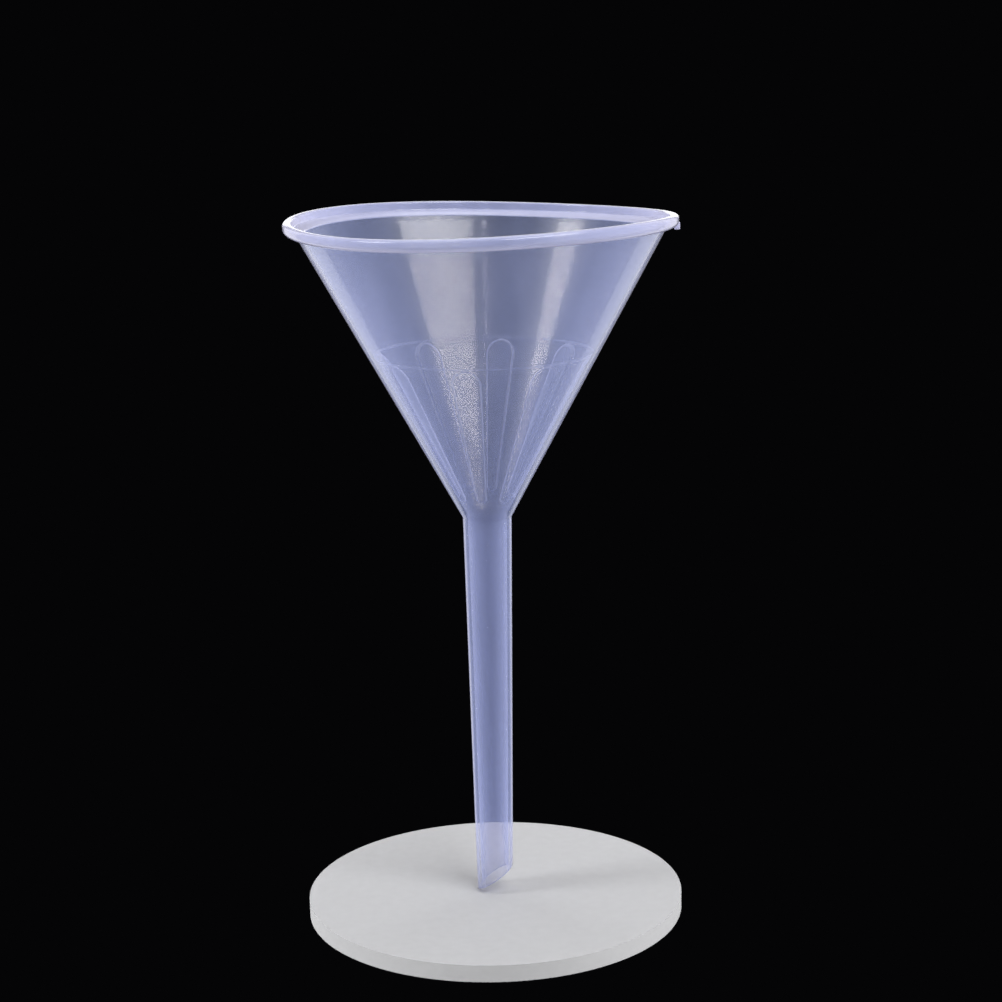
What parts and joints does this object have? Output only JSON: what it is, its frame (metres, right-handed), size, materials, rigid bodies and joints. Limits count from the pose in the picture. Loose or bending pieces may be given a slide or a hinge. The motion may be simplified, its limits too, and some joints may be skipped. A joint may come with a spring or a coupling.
{
  "type": "long-stem laboratory funnel",
  "caption": "Translucent moulded plastic laboratory funnel with a beaded rim, low drain ribs inside the cone and a long tapered stem cut off at a slant.",
  "frame": {"origin": "on the funnel's axis, level with the lowest point of the slanted outlet", "axes": "+Z along the axis, up from the outlet to the open mouth; -Y is the front; the low side of the slanted outlet is at -X and its high side and the gate vestige are at +X"},
  "size_m": [0.0903, 0.09, 0.1629],
  "materials": {
    "natural_polypropylene": "glossy, translucent, natural uncoloured moulding with a faint bluish haze"
  },
  "bodies": {
    "root": {"rim_bead": "natural_polypropylene", "cone_wall": "natural_polypropylene", "throat": "natural_polypropylene", "stem": "natural_polypropylene", "gate_nub": "natural_polypropylene", "drain_rib_1": "natural_polypropylene", "drain_rib_2": "natural_polypropylene", "drain_rib_3": "natural_polypropylene", "drain_rib_4": "natural_polypropylene", "drain_rib_5": "natural_polypropylene", "drain_rib_6": "natural_polypropylene", "drain_rib_7": "natural_polypropylene", "drain_rib_8": "natural_polypropylene"}
  },
  "joints": []
}
